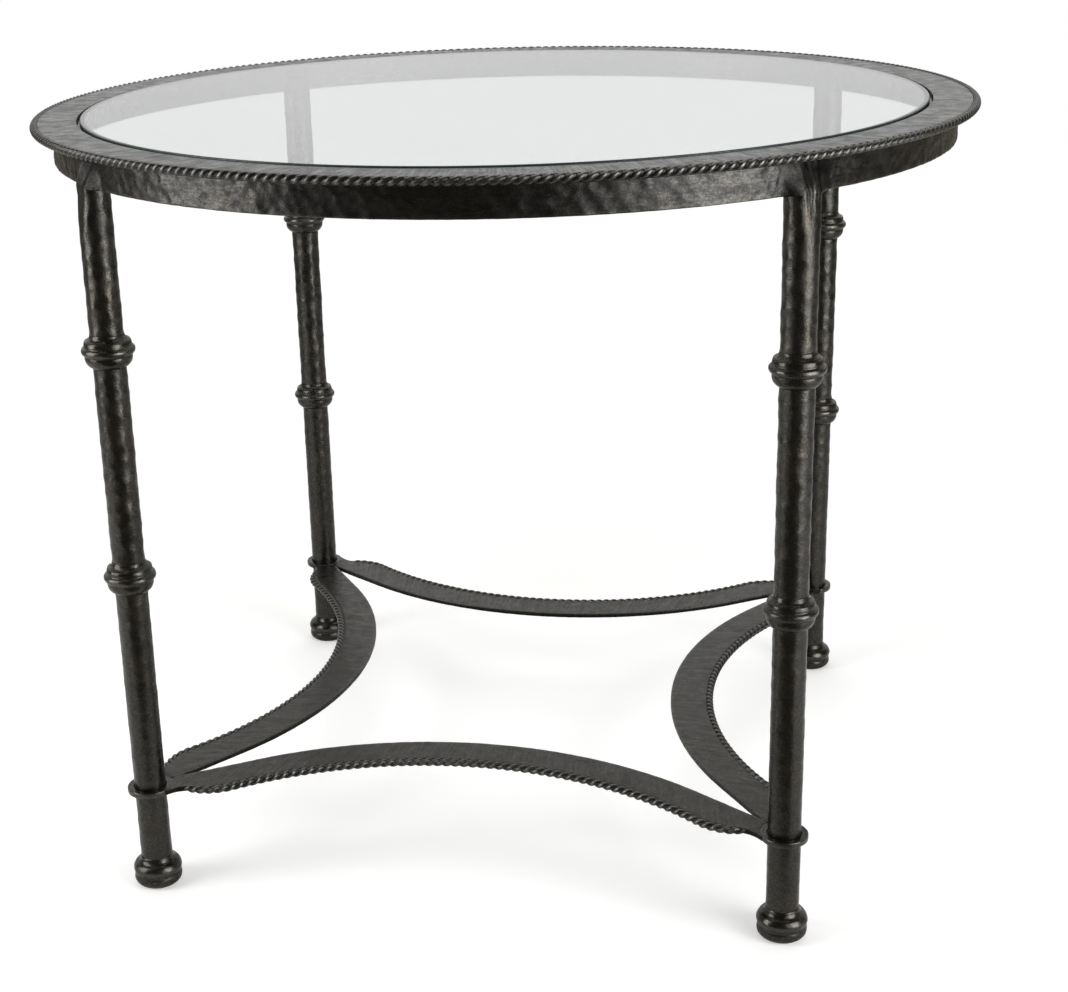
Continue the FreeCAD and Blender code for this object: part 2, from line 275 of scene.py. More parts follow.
def put(name, points, node, material, body="frame", along_closed=False, marks=None, uv=None):
    """Mesh over a grid of points, rows by columns, as a piece that rides a body.

    The last column joins the first, and with along_closed the last row joins the first as well. Open
    ends get a fan to a middle point. marks are named values for each point, and uv is its place in a
    flat pattern. Faces are turned so that the closed surface holds a positive volume.
    """
    rows, columns = points.shape[:2]
    row_at = np.arange(rows if along_closed else rows - 1)
    r, c = np.meshgrid(row_at, np.arange(columns), indexing="ij")
    r_next = (r + 1) % rows
    c_next = (c + 1) % columns
    ring = [r * columns + c, r * columns + c_next, r_next * columns + c_next, r_next * columns + c]
    quads = np.stack(ring, -1).reshape(-1, 4)
    verts = points.reshape(-1, 3)
    fans = np.zeros((0, 3), int)
    if not along_closed:
        middles = np.stack([points[0].mean(0), points[-1].mean(0)])
        first = len(verts)
        verts = np.concatenate([verts, middles])
        edge = np.arange(columns)
        next_edge = (edge + 1) % columns
        top = (rows - 1) * columns
        start_fan = np.stack([next_edge, edge, np.full(columns, first)], 1)
        end_fan = np.stack([top + edge, top + next_edge, np.full(columns, first + 1)], 1)
        fans = np.concatenate([start_fan, end_fan])
    triangles = np.concatenate([quads[:, [0, 1, 2]], quads[:, [0, 2, 3]], fans])
    a, b, d = (verts[triangles[:, k]] for k in range(3))
    if np.einsum("ij,ij->", a, np.cross(b, d)) < 0:
        quads = quads[:, ::-1]
        fans = fans[:, ::-1]
    mesh = bpy.data.meshes.new(name)
    corners = np.concatenate([quads.ravel(), fans.ravel()])
    sizes = np.concatenate([np.full(len(quads), 4), np.full(len(fans), 3)])
    starts = np.concatenate([[0], np.cumsum(sizes)[:-1]])
    mesh.vertices.add(len(verts))
    mesh.vertices.foreach_set("co", verts.astype(np.float32).ravel())
    mesh.loops.add(len(corners))
    mesh.loops.foreach_set("vertex_index", corners.astype(np.int32))
    mesh.polygons.add(len(sizes))
    mesh.polygons.foreach_set("loop_start", starts.astype(np.int32))
    mesh.polygons.foreach_set("loop_total", sizes.astype(np.int32))
    mesh.polygons.foreach_set("use_smooth", np.ones(len(sizes), bool))
    extra = len(verts) - rows * columns
    for mark, values in (marks or {}).items():
        layer = mesh.attributes.new(mark, "FLOAT", "POINT")
        whole = np.broadcast_to(values, (rows, columns)).reshape(-1)
        layer.data.foreach_set("value", np.concatenate([whole, np.zeros(extra)]).astype(np.float32))
    if uv is not None:
        layer = mesh.uv_layers.new(name="lay")
        flat = np.concatenate([uv.reshape(-1, 2), np.zeros((extra, 2))])
        layer.data.foreach_set("uv", flat[corners].astype(np.float32).ravel())
    mesh.update()
    mesh.validate()
    piece = bpy.data.objects.new(name, mesh)
    bpy.context.scene.collection.objects.link(piece)
    mesh.materials.append(material)
    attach(piece, body)
    if node is not None:
        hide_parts(node)


def about_axis(profile, turn, centre=(0.0, 0.0)):
    """Surface of revolution: each (radius, level) of a profile becomes a circle about an upright axis."""
    radius = profile[:, :1]
    x = centre[0] + radius * np.cos(turn)
    y = centre[1] + radius * np.sin(turn)
    z = np.broadcast_to(profile[:, 1:], x.shape)
    return np.stack([x, y, z], -1)


def turned(profile, columns, centre=(0.0, 0.0)):
    """Surface of revolution at even angles, with those angles."""
    turn = np.linspace(0.0, 2 * np.pi, columns, endpoint=False)
    return about_axis(profile, turn, centre), turn


def about_table(points, degrees):
    """Points turned about the table's axis."""
    c = math.cos(math.radians(degrees))
    s = math.sin(math.radians(degrees))
    x = c * points[..., 0] - s * points[..., 1]
    y = s * points[..., 0] + c * points[..., 1]
    return np.stack([x, y, points[..., 2]], -1)


# Shader building


class Nodes:
    """Short calls for building a node tree. A value is a socket to link or a plain number or colour."""

    def __init__(self, tree):
        self.tree = tree

    def add(self, kind, **values):
        node = self.tree.nodes.new(kind)
        for key, value in values.items():
            setattr(node, key, value)
        return node

    def link(self, source, target):
        self.tree.links.new(source, target)

    def feed(self, socket, value):
        if isinstance(value, bpy.types.NodeSocket):
            self.link(value, socket)
        else:
            socket.default_value = value

    def math(self, operation, a, b):
        node = self.add("ShaderNodeMath", operation=operation)
        self.feed(node.inputs[0], a)
        self.feed(node.inputs[1], b)
        return node.outputs[0]

    def vector(self, operation, a, b=None):
        """Vector Math: puts out a vector, or a value for a length or a dot product."""
        node = self.add("ShaderNodeVectorMath", operation=operation)
        self.feed(node.inputs[0], a)
        if b is not None:
            self.feed(node.inputs["Scale" if operation == "SCALE" else 1], b)
        return node.outputs["Value" if operation in ("LENGTH", "DOT_PRODUCT") else "Vector"]

    def ramp(self, value, low, high, to_low=0.0, to_high=1.0):
        node = self.add("ShaderNodeMapRange", interpolation_type="SMOOTHSTEP")
        self.feed(node.inputs["Value"], value)
        self.feed(node.inputs["From Min"], low)
        self.feed(node.inputs["From Max"], high)
        self.feed(node.inputs["To Min"], to_low)
        self.feed(node.inputs["To Max"], to_high)
        return node.outputs["Result"]

    def mix(self, factor, a, b):
        """Mix of two colours, which are sockets 6 and 7 of the node and come out of its socket 2."""
        node = self.add("ShaderNodeMix", data_type="RGBA")
        self.feed(node.inputs["Factor"], factor)
        self.feed(node.inputs[6], a)
        self.feed(node.inputs[7], b)
        return node.outputs[2]

    def noise(self, vector, scale, detail, rough, warp=0.0):
        node = self.add("ShaderNodeTexNoise", noise_dimensions="3D")
        self.feed(node.inputs["Vector"], vector)
        self.feed(node.inputs["Scale"], scale)
        node.inputs["Detail"].default_value = detail
        node.inputs["Roughness"].default_value = rough
        node.inputs["Distortion"].default_value = warp
        return node.outputs["Fac"]

    def bump(self, height, depth, normal=None):
        node = self.add("ShaderNodeBump")
        node.inputs["Strength"].default_value = 1.0
        node.inputs["Distance"].default_value = depth
        self.link(height, node.inputs["Height"])
        if normal is not None:
            self.link(normal, node.inputs["Normal"])
        return node.outputs["Normal"]

    def mark(self, name):
        return self.add("ShaderNodeAttribute", attribute_name=name).outputs["Fac"]


def new_group(name, inputs, outputs):
    """Empty node group with named sockets; returns it, its builder, what it is given and puts out."""
    tree = bpy.data.node_groups.new(name, "ShaderNodeTree")
    kinds = {"value": "NodeSocketFloat", "vector": "NodeSocketVector", "colour": "NodeSocketColor"}
    for socket, (kind, start) in inputs.items():
        made = tree.interface.new_socket(socket, in_out="INPUT", socket_type=kinds[kind])
        if start is not None:
            made.default_value = start
    for socket, kind in outputs.items():
        tree.interface.new_socket(socket, in_out="OUTPUT", socket_type=kinds[kind])
    build = Nodes(tree)
    source = build.add("NodeGroupInput")
    return tree, build, source.outputs, build.add("NodeGroupOutput").inputs


# Finishes: colour left under full painted shade, share of metal, how far file marks are drawn out, glass
# index
PAINTED_SHADE_SHARE = 0.3
IRON_METALLIC = 0.92
FILE_SQUEEZE = 0.06
HOOP_SQUEEZE = 0.16
GLASS_IOR = 1.52


def make_patina():
    """Blackened iron: near-black skin with browner clouds, paler where worn and where highlights are
    painted, darker where shade is painted.
    """
    tree, n, given, out = new_group(
        "blackened_iron",
        {
            "Vector": ("vector", None),
            "Black": ("colour", (0.0418, 0.0409, 0.0392, 1)),
            "Brown": ("colour", (0.049, 0.0453, 0.0405, 1)),
            "Worn and highlit": ("colour", (0.168, 0.163, 0.154, 1)),
            "Wear and highlight": ("value", 0.0),
            "Painted shade": ("value", 0.0),
            "Rough": ("value", 0.4),
        },
        {"Color": "colour", "Roughness": "value", "Grain": "value"},
    )
    clouds = n.noise(given["Vector"], scale=38.0, detail=3.0, rough=0.55)
    specks = n.noise(given["Vector"], scale=480.0, detail=3.0, rough=0.6)
    body = n.mix(n.ramp(clouds, 0.42, 0.68), given["Black"], given["Brown"])
    speckled = n.vector("SCALE", body, n.ramp(specks, 0.35, 0.7, 0.75, 1.25))
    # Paler where worn and where a highlight is painted; darker where shade is painted
    patchy = n.math("MULTIPLY", given["Wear and highlight"], n.ramp(specks, 0.3, 0.6, 0.45, 1.0))
    worn_and_highlit = n.mix(patchy, speckled, given["Worn and highlit"])
    n.link(n.vector("SCALE", worn_and_highlit, n.ramp(given["Painted shade"], 0.0, 1.0, 1.0, PAINTED_SHADE_SHARE)), out["Color"])
    smeared = n.noise(given["Vector"], scale=75.0, detail=4.0, rough=0.6)
    rough = n.math("ADD", given["Rough"], n.ramp(smeared, 0.3, 0.75, -0.07, 0.09))
    n.link(n.math("ADD", rough, n.ramp(specks, 0.3, 0.7, 0.03, -0.03)), out["Roughness"])
    pits = n.noise(given["Vector"], scale=900.0, detail=2.0, rough=0.6)
    n.link(n.math("ADD", n.math("MULTIPLY", specks, 0.7), n.math("MULTIPLY", pits, 0.3)), out["Grain"])
    return tree


def make_chatter():
    """Draw-file marks: fine uneven ridges across a band, from coordinates laid along and across it."""
    tree, n, given, out = new_group(
        "draw_file_marks",
        {"Vector": ("vector", None), "Pitch": ("value", 400.0)},
        {"Height": "value", "Streak": "value"},
    )
    coarse = n.noise(given["Vector"], given["Pitch"], detail=3.0, rough=0.6, warp=0.6)
    finer_pitch = n.math("MULTIPLY", given["Pitch"], 3.1)
    fine = n.noise(given["Vector"], finer_pitch, detail=2.0, rough=0.5)
    both = n.math("ADD", n.math("MULTIPLY", coarse, 0.65), n.math("MULTIPLY", fine, 0.35))
    n.link(both, out["Height"])
    n.link(n.ramp(both, 0.36, 0.64), out["Streak"])
    return tree


PATINA = make_patina()
CHATTER = make_chatter()


def bare_material(name):
    """New material with an empty node tree, and its builder."""
    material = bpy.data.materials.new(name)
    material.use_nodes = True
    material.node_tree.nodes.clear()
    return material, Nodes(material.node_tree)


def start_material(name):
    """New material with a Principled shader; returns it, its builder, the shader and the output node."""
    material, n = bare_material(name)
    shader = n.add("ShaderNodeBsdfPrincipled")
    output = n.add("ShaderNodeOutputMaterial")
    n.link(shader.outputs["BSDF"], output.inputs["Surface"])
    return material, n, shader, output


def place(n, tree):
    """Node group placed in a material."""
    node = n.add("ShaderNodeGroup")
    node.node_tree = tree
    return node


def ring_lay(n, place_of, radius, squeeze):
    """Coordinates on a ring about the table's axis: true along the ring, squeezed across it and up."""
    split = n.add("ShaderNodeSeparateXYZ")
    n.link(place_of, split.inputs[0])
    flat = n.add("ShaderNodeCombineXYZ")
    n.link(split.outputs["X"], flat.inputs["X"])
    n.link(split.outputs["Y"], flat.inputs["Y"])
    ring = n.vector("SCALE", n.vector("NORMALIZE", flat.outputs[0]), radius)
    across = n.math("ADD", n.vector("LENGTH", flat.outputs[0]), split.outputs["Z"])
    lift = n.add("ShaderNodeCombineXYZ")
    n.link(n.math("MULTIPLY", across, squeeze), lift.inputs["Z"])
    return n.vector("ADD", ring, lift.outputs[0])


def iron(name, rough, wear_and_highlight=None, painted_shade=None, lay=None, pitch=300.0, chatter_depth=0.0, grain_depth=0.05,
         streak_shade=0.0, tint=(1.0, 1.0, 1.0)):
    """Iron finish of one kind of piece.

    The first two marks say where the piece is paler, from wear and from painted highlights, and where
    painted shade darkens it.
    lay says how the draw-file marks run: across a "ring" or a "bar", along a "hoop", or None. Depths are
    bump distances in millimetres. tint multiplies the colours of the skin.
    """
    material, n, shader, _ = start_material(name)
    place_of = n.add("ShaderNodeTexCoord").outputs["Object"]
    skin = place(n, PATINA)
    n.link(place_of, skin.inputs["Vector"])
    skin.inputs["Rough"].default_value = rough
    for skin_colour in ("Black", "Brown"):
        socket = skin.inputs[skin_colour]
        socket.default_value = [own * share for own, share in zip(socket.default_value, (*tint, 1.0))]
    if wear_and_highlight is not None:
        n.link(n.mark(wear_and_highlight), skin.inputs["Wear and highlight"])
    if painted_shade is not None:
        n.link(n.mark(painted_shade), skin.inputs["Painted shade"])
    colour = skin.outputs["Color"]
    roughness = skin.outputs["Roughness"]
    normal = n.bump(skin.outputs["Grain"], grain_depth * MM)
    if lay is not None:
        if lay == "ring":
            coordinates = ring_lay(n, place_of, TABLE_RADIUS, FILE_SQUEEZE)
        elif lay == "hoop":
            coordinates = ring_lay(n, place_of, TABLE_RADIUS * HOOP_SQUEEZE, 1.0)
        else:
            uv = n.add("ShaderNodeUVMap", uv_map="lay")
            coordinates = n.vector("MULTIPLY", uv.outputs["UV"], (1.0, FILE_SQUEEZE, 1.0))
        marks = place(n, CHATTER)
        n.link(coordinates, marks.inputs["Vector"])
        marks.inputs["Pitch"].default_value = pitch
        normal = n.bump(marks.outputs["Height"], chatter_depth * MM, normal)
        streak = marks.outputs["Streak"]
        colour = n.vector("SCALE", colour, n.ramp(streak, 0.0, 1.0, 1.0 - streak_shade, 1.0 + streak_shade))
        roughness = n.math("ADD", roughness, n.ramp(streak, 0.0, 1.0, 0.06, -0.06))
    n.link(colour, shader.inputs["Base Color"])
    n.link(roughness, shader.inputs["Roughness"])
    n.link(normal, shader.inputs["Normal"])
    shader.inputs["Metallic"].default_value = IRON_METALLIC
    return material


def make_glass_material():
    """Clear float glass with a faint green body, which lets lamp light straight through for shadows."""
    material, n, shader, output = start_material("float_glass")
    place_of = n.add("ShaderNodeTexCoord").outputs["Object"]
    film = n.noise(place_of, scale=9.0, detail=3.0, rough=0.5)
    clear_body = n.mix(n.ramp(film, 0.3, 0.7), (0.735, 0.765, 0.755, 1), (0.75, 0.78, 0.77, 1))
    tinted = n.mix(n.mark("ground_edge"), clear_body, (0.04, 0.13, 0.11, 1))
    n.link(tinted, shader.inputs["Base Color"])
    smears = n.noise(place_of, scale=60.0, detail=3.0, rough=0.6)
    n.link(n.ramp(smears, 0.3, 0.8, 0.0, 0.012), shader.inputs["Roughness"])
    shader.inputs["Transmission Weight"].default_value = 1.0
    shader.inputs["IOR"].default_value = GLASS_IOR
    clear = n.add("ShaderNodeBsdfTransparent")
    clear.inputs["Color"].default_value = (0.86, 0.9, 0.88, 1)
    rays = n.add("ShaderNodeLightPath")
    blend = n.add("ShaderNodeMixShader")
    n.link(rays.outputs["Is Shadow Ray"], blend.inputs["Fac"])
    n.link(shader.outputs["BSDF"], blend.inputs[1])
    n.link(clear.outputs["BSDF"], blend.inputs[2])
    n.link(blend.outputs[0], output.inputs["Surface"])
    return material


def make_ground_edge_material():
    """Frosted edge of the pane: dark green, cloudy and a little rough."""
    material, n, shader, _ = start_material("ground_glass_edge")
    place_of = n.add("ShaderNodeTexCoord").outputs["Object"]
    cloud = n.ramp(n.noise(place_of, scale=24.0, detail=3.0, rough=0.6), 0.3, 0.7)
    n.link(n.mix(cloud, (0.012, 0.034, 0.031, 1), (0.022, 0.05, 0.045, 1)), shader.inputs["Base Color"])
    frost = n.noise(place_of, scale=300.0, detail=2.0, rough=0.5)
    n.link(n.ramp(frost, 0.3, 0.7, 0.3, 0.5), shader.inputs["Roughness"])
    shader.inputs["Transmission Weight"].default_value = 0.2
    shader.inputs["IOR"].default_value = GLASS_IOR
    return material


# Colour multipliers for the forged and turned pieces and for the bars: partly their own warmer tone, partly
# a lift that makes their highlights brighter than the apron's, a painted sheen
FORGED_TONE_AND_SHEEN = (1.22, 1.20, 1.15)
BAR_TONE_AND_SHEEN = (1.13, 1.09, 1.01)
LEG_IRON = iron("forged_leg_iron", 0.28, painted_shade="painted_shade", grain_depth=0.27, tint=FORGED_TONE_AND_SHEEN)
TURNED_IRON = iron("turned_collar_iron", 0.26, wear_and_highlight="wear_and_highlight", grain_depth=0.10, tint=FORGED_TONE_AND_SHEEN)
APRON_IRON = iron("hammered_apron_iron", 0.32, wear_and_highlight="wear_and_highlight", painted_shade="painted_shade", lay="hoop", pitch=420.0,
                  chatter_depth=0.03, grain_depth=0.14, streak_shade=0.10)
RIM_IRON = iron("filed_rim_iron", 0.315, painted_shade="painted_shade", lay="ring", pitch=260.0,
                chatter_depth=0.012, grain_depth=0.03, streak_shade=0.12)
ROPE_IRON = iron("twisted_rod_iron", 0.34, wear_and_highlight="wear_and_highlight", grain_depth=0.04)
BAR_IRON = iron("filed_bar_iron", 0.365, wear_and_highlight="wear_and_highlight", painted_shade="painted_shade", lay="bar", pitch=330.0,
                chatter_depth=0.04, grain_depth=0.05, streak_shade=0.10, tint=BAR_TONE_AND_SHEEN)
GLASS = make_glass_material()
GROUND_EDGE = make_ground_edge_material()


# Pieces


def make_rim():
    """Flat rim plate: a rectangle with soft corners turned about the axis, with faint hammering on top."""
    outer = ROPE_CIRCLE - ROPE_RADIUS + ROPE_BED
    soft = RIM_ARRIS
    profile = path(
        run((RIM_OPENING + soft, RIM_TOP), (outer - soft, RIM_TOP), 19),
        arc((outer - soft, RIM_TOP - soft), soft, 90, 0, 4),
        arc((outer - soft, RIM_UNDERSIDE + soft), soft, 0, -90, 4),
        run((outer - soft, RIM_UNDERSIDE), (RIM_OPENING + soft, RIM_UNDERSIDE), 8),
        arc((RIM_OPENING + soft, RIM_UNDERSIDE + soft), soft, 270, 180, 4),
        arc((RIM_OPENING + soft, RIM_TOP - soft), soft, 180, 90, 5),
    )[:-1]
    points, turn = turned(profile, 1200)
    along = turn * TABLE_RADIUS
    circle = 2 * np.pi * TABLE_RADIUS
    radius = profile[:, :1]
    skin = 0.3 * MM
    on_top = smooth((profile[:, 1:] - (RIM_TOP - skin)) / skin)
    dents = blows(along, radius, pitch=21 * MM, seed=11, around=circle)
    dents = dents + 0.5 * blows(along, radius, pitch=9 * MM, seed=12, around=circle)
    points[..., 2] += RIM_DENT * np.minimum(dents, 0.6) * on_top
    # Painted shade: the opening's inner edge is darkened to stand for the dark gap round the glass
    painted_shade = smooth((RIM_OPENING + soft - radius) / (0.5 * MM))
    put("rim_plate", points, "top_rim", RIM_IRON, along_closed=True, marks={"painted_shade": painted_shade})


def rod_section():
    """Outline of the twisted rod: two round lobes with a groove on each side, radius 1 on a crown.

    The radius is the greater of two circles set out from the middle. Returns the angles round the
    outline, the radius at each, and how far each lies on a crown.
    """
    turn = np.linspace(0.0, 2 * np.pi, ROPE_COLUMNS, endpoint=False)
    lobe = 1.0 - LOBE_OFFSET
    bend = (turn + np.pi / 2) % np.pi - np.pi / 2
    lobe_half = np.sqrt(np.maximum(lobe**2 - (LOBE_OFFSET * np.sin(bend)) ** 2, 0.01))
    size = LOBE_OFFSET * np.cos(bend) + lobe_half
    return turn, size, smooth((size - CROWN_START) / CROWN_RISE)


def make_rim_rope():
    """Twisted rod round the rim: the lobed section turns with the distance along a circle."""
    turns = round(2 * np.pi * ROPE_CIRCLE / ROPE_LEAD)
    around = np.linspace(0.0, 2 * np.pi, turns * ROPE_STEPS, endpoint=False)[:, None]
    section, size, crown = rod_section()
    twist = section + turns * around
    out = ROPE_CIRCLE + ROPE_RADIUS * size * np.cos(twist)
    points = np.stack([
        out * np.cos(around),
        out * np.sin(around),
        ROPE_LEVEL + ROPE_RADIUS * size * np.sin(twist),
    ], -1)
    # Crowns of the lobes are paler: wear, lifted further as painted highlights
    put("rim_bead", points, "rim_rope", ROPE_IRON, along_closed=True, marks={"wear_and_highlight": 0.8 * crown})


def apron_swell(sideways, levels):
    """How far the apron's face is drawn out at a leg.

    It is most at the apron's bottom edge and over the strap's flat, and eases off up and sideways.
    """
    rise = np.maximum(levels - APRON_BOTTOM, 0.0) / STRAP_RISE
    flank = smooth((sideways - STRAP_FLAT) / STRAP_FLANK)
    return STRAP_PROUD * (1.0 - flank) * (1.0 - smooth(rise))


def fan_marks(across, levels):
    """Shallow file marks that spread like a fan from the top of a strap up the apron's face."""
    rise = np.maximum(levels - APRON_BOTTOM, 0.0)
    spread = across / (1.0 + rise / (30 * MM))
    marks = blows(spread * 4.0, levels * 0.6, pitch=14 * MM, seed=81)
    return 0.16 * MM * np.minimum(marks, 1.0)


def make_apron():
    """Hammered hoop: a thin upright rectangle turned about the axis, its outside dented by blows.

    At each leg the outside is drawn out to meet the leg's dressed face.
    """
    soft = APRON_ARRIS
    profile = path(
        run((APRON_OUTER, RIM_UNDERSIDE), (APRON_OUTER, APRON_BOTTOM + soft), 21),
        arc((APRON_OUTER - soft, APRON_BOTTOM + soft), soft, 0, -90, 5),
        run((APRON_OUTER - soft, APRON_BOTTOM), (APRON_INNER + soft, APRON_BOTTOM), 4),
        arc((APRON_INNER + soft, APRON_BOTTOM + soft), soft, 270, 180, 4),
        run((APRON_INNER, APRON_BOTTOM + soft), (APRON_INNER, RIM_UNDERSIDE), 9),
        (APRON_OUTER, RIM_UNDERSIDE),
    )[:-1]
    at_leg = 40 * MM / APRON_OUTER
    quarter = np.concatenate([
        np.linspace(0.0, np.pi / 4 - at_leg, 150, endpoint=False),
        np.linspace(np.pi / 4 - at_leg, np.pi / 4 + at_leg, 120, endpoint=False),
        np.linspace(np.pi / 4 + at_leg, np.pi / 2, 150, endpoint=False),
    ])
    turn = np.concatenate([quarter + side * np.pi / 2 for side in range(4)])
    points = about_axis(profile, turn)
    across = ((turn % (np.pi / 2)) - np.pi / 4) * APRON_OUTER
    sideways = np.abs(across)
    up = profile[:, 1:]
    along = turn * APRON_OUTER
    circle = 2 * np.pi * APRON_OUTER
    lean = up * 0.5
    dents = blows(along + lean, up, pitch=12 * MM, seed=21, around=circle)
    dents = dents + 0.5 * blows(along - lean, up * 0.8, pitch=7 * MM, seed=22, around=circle)
    broad = blows(along, up * 0.6, pitch=30 * MM, seed=23, around=circle)
    relief = APRON_DENT * np.minimum(dents, 1.0) + APRON_WAVE * broad - APRON_SET_BACK
    strap = 1.0 - smooth((sideways - 14 * MM) / (16 * MM))
    outside = smooth((profile[:, :1] - APRON_INNER - 2 * MM) / (2.5 * MM))
    fan = fan_marks(across, up)
    depth = (relief + (fan - relief) * strap + apron_swell(sideways, up)) * outside
    points[..., 0] += depth * np.cos(turn)
    points[..., 1] += depth * np.sin(turn)
    low = np.exp(-np.abs(up - APRON_BOTTOM) / (1.0 * MM)) * outside * (1.0 - strap)
    # Painted shade on the face either side of each leg, which dulls the swell's highlights, and partly
    # forge scale at the weld
    painted_shade = APRON_PAINTED_SHADE * (1.0 - smooth((sideways - 16 * MM) / (24 * MM))) * outside
    put("apron_hoop", points, "apron_band", APRON_IRON, along_closed=True,
        marks={"wear_and_highlight": 0.5 * low, "painted_shade": painted_shade})


def make_ledge():
    """Plain flat ring in the rim's opening, a rectangle with soft corners turned about the axis."""
    soft = LEDGE_ARRIS
    profile = path(
        run((LEDGE_INNER + soft, LEDGE_TOP), (RIM_OPENING, LEDGE_TOP), 8),
        run((RIM_OPENING, RIM_UNDERSIDE), (LEDGE_INNER + soft, RIM_UNDERSIDE), 8),
        arc((LEDGE_INNER + soft, RIM_UNDERSIDE + soft), soft, 270, 180, 4),
        arc((LEDGE_INNER + soft, LEDGE_TOP - soft), soft, 180, 90, 4),
    )[:-1]
    points, _ = turned(profile, 720)
    put("glass_seat", points, "glass_ledge", RIM_IRON, along_closed=True)


def make_glass():
    """Glass pane: a disc whose upper and lower arrises are ground to quarter rounds.

    A thin frosted skin follows the ground edge, a strip turned about the axis.
    """
    soft = GLASS_ARRIS
    rim = GLASS_RADIUS - soft
    profile = path(
        run((GLASS_HUB, GLASS_UNDERSIDE), (rim - 3 * MM, GLASS_UNDERSIDE), 12),
        run((rim - 2 * MM, GLASS_UNDERSIDE), (rim - 0.4 * MM, GLASS_UNDERSIDE), 3),
        arc((rim, GLASS_UNDERSIDE + soft), soft, -90, 0, 7),
        run((GLASS_RADIUS, GLASS_UNDERSIDE + soft), (GLASS_RADIUS, GLASS_TOP - soft), 3),
        arc((rim, GLASS_TOP - soft), soft, 0, 90, 7),
        run((rim - 0.4 * MM, GLASS_TOP), (rim - 2 * MM, GLASS_TOP), 3),
        run((rim - 3 * MM, GLASS_TOP), (GLASS_HUB, GLASS_TOP), 12),
    )
    points, _ = turned(profile, GLASS_COLUMNS)
    edge = smooth((profile[:, :1] - rim + soft) / soft)
    put("glass_pane", points, "glass_top", GLASS, body="glass", marks={"ground_edge": edge})
    low = GLASS_UNDERSIDE + soft
    high = GLASS_TOP - soft
    outer = soft + FROST_SKIN
    inner = soft - FROST_SKIN
    frosted = path(
        arc((rim, high), outer, FROST_TURN, 0, 7),
        arc((rim, low), outer, 0, -FROST_TURN, 7),
        arc((rim, low), inner, -FROST_TURN, 0, 7),
        arc((rim, high), inner, 0, FROST_TURN, 7),
    )
    points, _ = turned(frosted, GLASS_COLUMNS)
    put("ground_edge", points, None, GROUND_EDGE, body="glass", along_closed=True)


def leg_levels():
    """Levels of the leg's rings, close together, with a pair at the apron's bottom edge."""
    below = np.linspace(LEG_BOTTOM, APRON_BOTTOM, round((APRON_BOTTOM - LEG_BOTTOM) / LEG_STEP))
    above = np.linspace(APRON_BOTTOM, DRESSING_TOP, 24)
    return np.concatenate([below, above[1:]])


def make_leg(corner, degrees, seed):
    """Forged leg: a round bar dented by blows, dressed flat at the top where it joins the apron.

    Each ring is the lesser of two distances from a middle line, to the dented bar and to the dressed
    face. The face comes in from clear of the bar to the apron's drawn-out face at its bottom edge.
    Above that edge it is a thin lap on the apron that dives into it.
    """
    levels = leg_levels()[:, None]
    turn = np.linspace(0.0, 2 * np.pi, LEG_COLUMNS, endpoint=False)
    under = APRON_BOTTOM - levels
    inset = LEG_INSET * smooth(1.3 - under / STRAP_LENGTH)
    bar_across = np.sqrt(LEG_RADIUS**2 - (inset * np.sin(turn)) ** 2)
    to_bar = inset * np.cos(turn) + bar_across
    around_leg = np.arctan2(to_bar * np.sin(turn), to_bar * np.cos(turn) - inset)
    along = around_leg * LEG_RADIUS
    circle = 2 * np.pi * LEG_RADIUS
    fade = 0.5 + 0.5 * smooth((levels - LEG_CALM_LEVEL) / LEG_CALM_RISE)
    dents = LEG_DENT * np.minimum(blows(along, levels, LEG_DENT_PITCH, seed, circle), 1.0)
    dents += LEG_WAVE * blows(along, levels * 0.7, LEG_WAVE_PITCH, seed + 1, circle)
    to_bar = to_bar + (dents + 0.05 * MM) * fade
    across = to_bar * np.sin(turn)
    sideways = np.abs(across)
    ease = smooth(under / STRAP_LENGTH)
    dive = np.maximum(smooth((sideways - 8 * MM) / (6 * MM)), smooth(-under / (16 * MM)))
    lap = (0.25 * MM - 0.75 * MM * dive) * (1.0 - smooth(under / (6 * MM)))
    joined = APRON_OUTER + apron_swell(sideways, levels) + lap + fan_marks(across, levels)
    face = joined + (APRON_OUTER + LEG_PROUD + 1.0 * MM - joined) * ease
    middle = LEG_CIRCLE - inset
    reach_face = np.maximum((middle * np.cos(turn)) ** 2 - middle**2 + face**2, 0.0)
    to_face = np.sqrt(reach_face) - middle * np.cos(turn)
    distance = soft_least(to_bar, to_face, 0.6 * MM + 2.4 * MM * smooth(under / (8 * MM)))
    points = np.stack([
        middle + distance * np.cos(turn),
        distance * np.sin(turn),
        np.broadcast_to(levels, distance.shape),
    ], -1)
    # Painted shadow: the top of the leg is darkened under the apron's bottom edge and on the lap above it
    painted_shade = LEG_PAINTED_SHADE * smooth((4 * MM - under) / (14 * MM))
    put("forged_leg_" + corner, about_table(points, degrees), "leg_" + corner, LEG_IRON,
        marks={"painted_shade": painted_shade})


def dented(points, axis, seed, depth, pitch):
    """Turned piece with shallow uneven dents, pushed in towards its own upright axis."""
    apart = points[..., :2] - np.array(axis)
    radius = np.linalg.norm(apart, axis=-1, keepdims=True)
    turn = np.arctan2(apart[..., 1], apart[..., 0])
    wide = LEG_RADIUS * 1.5
    push = depth * (blows(turn * wide, points[..., 2], pitch, seed, 2 * np.pi * wide) - 0.5)
    points[..., :2] += apart / radius * push[..., None]
    return points


